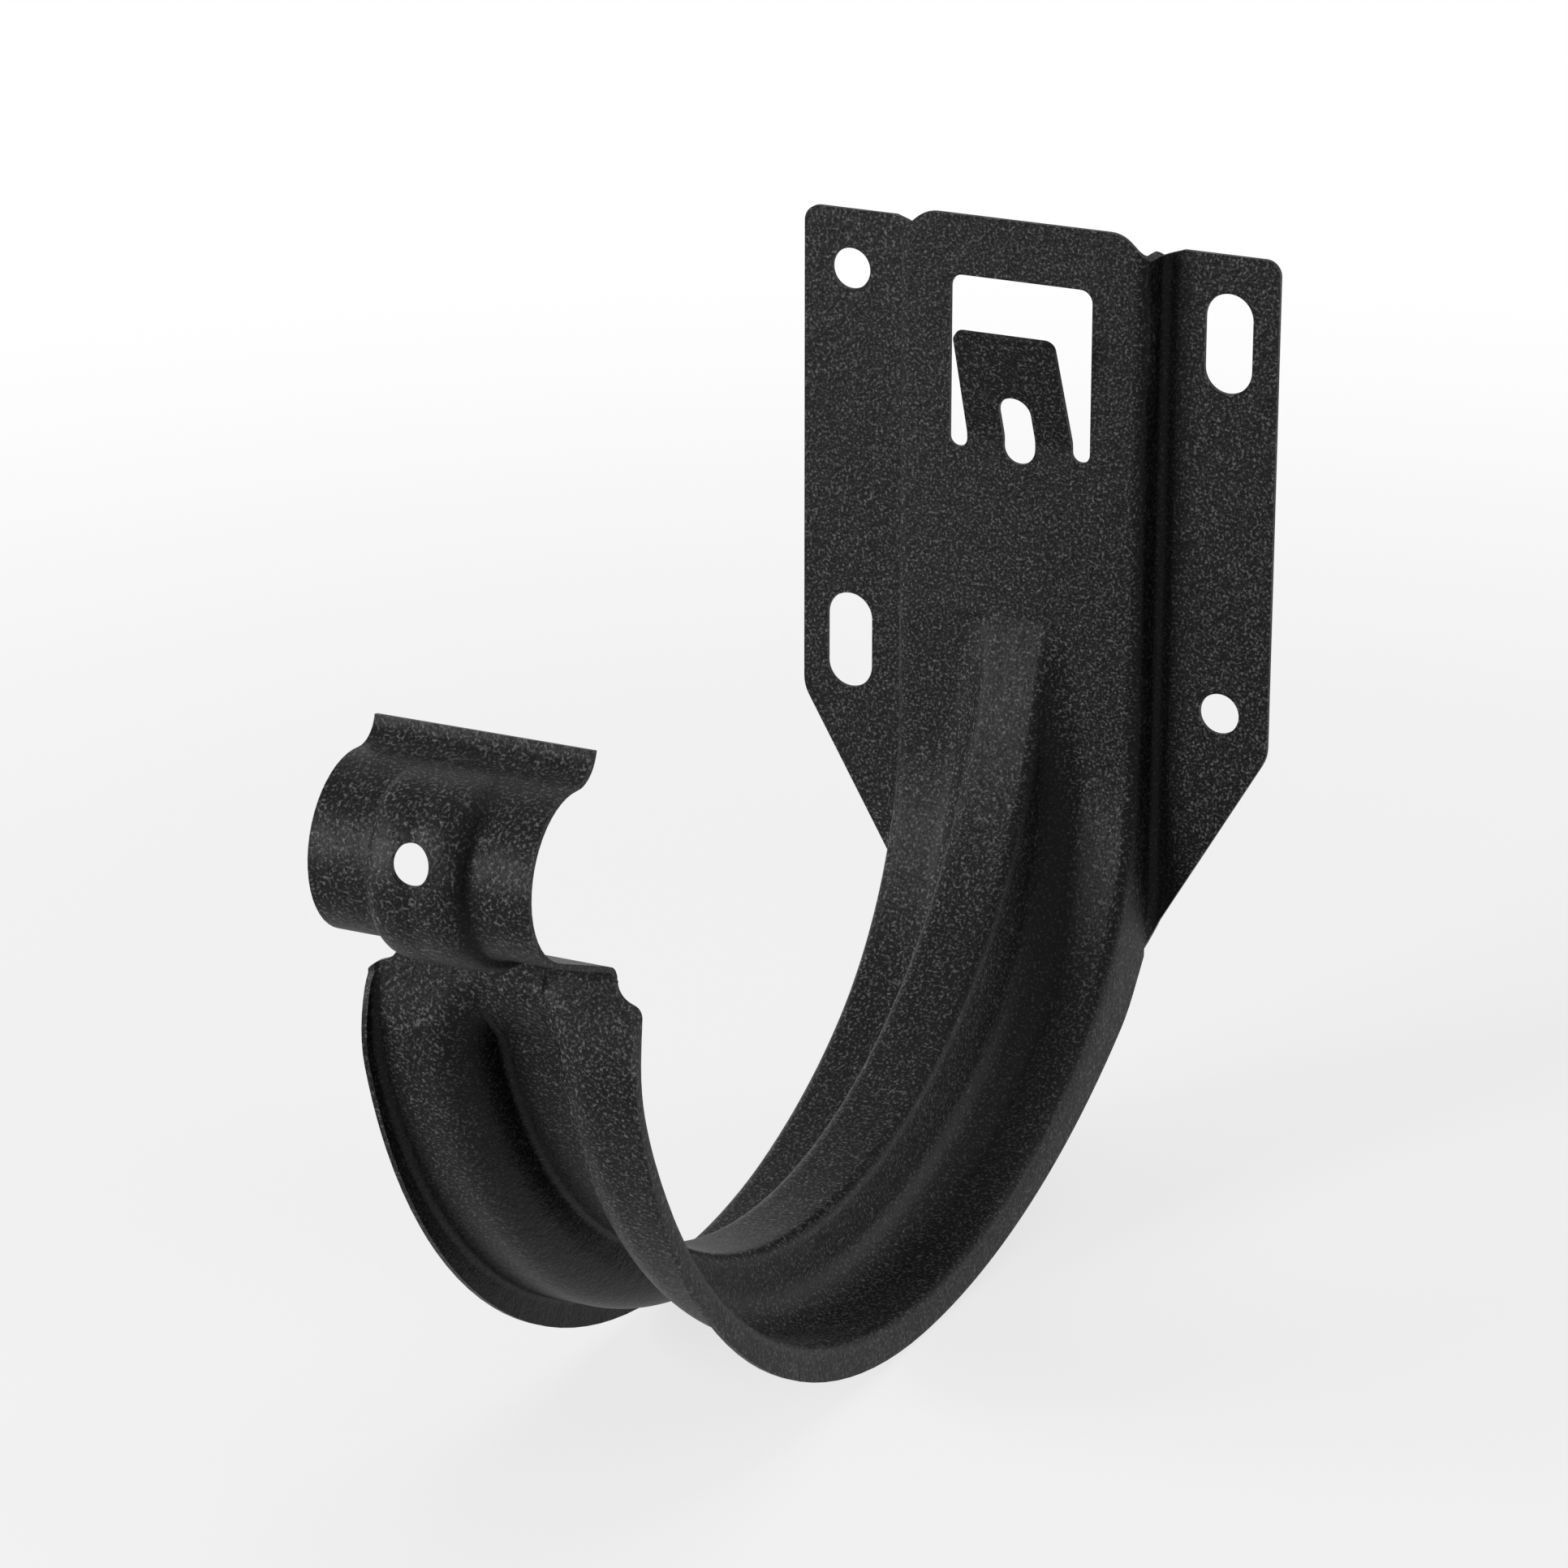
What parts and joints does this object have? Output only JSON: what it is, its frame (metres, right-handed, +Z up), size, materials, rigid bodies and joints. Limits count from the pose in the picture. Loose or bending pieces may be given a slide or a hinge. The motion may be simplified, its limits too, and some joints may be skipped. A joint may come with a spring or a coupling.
{
  "type": "gutter bracket",
  "caption": "Pressed-sheet bracket that cradles a half-round gutter: wall plate with wings, ribbed channel and a curl that hooks over the gutter's bead.",
  "frame": {"origin": "middle of the round screw holes, on the face that lies on the wall", "axes": "+X along the wall, +Y into the wall, +Z up; the gutter side is -Y"},
  "size_m": [0.0628, 0.1531, 0.1173],
  "materials": {
    "coated_sheet": "matte, finely textured black powder coat"
  },
  "bodies": {
    "root": {"gutter_bracket": "coated_sheet"}
  },
  "joints": []
}
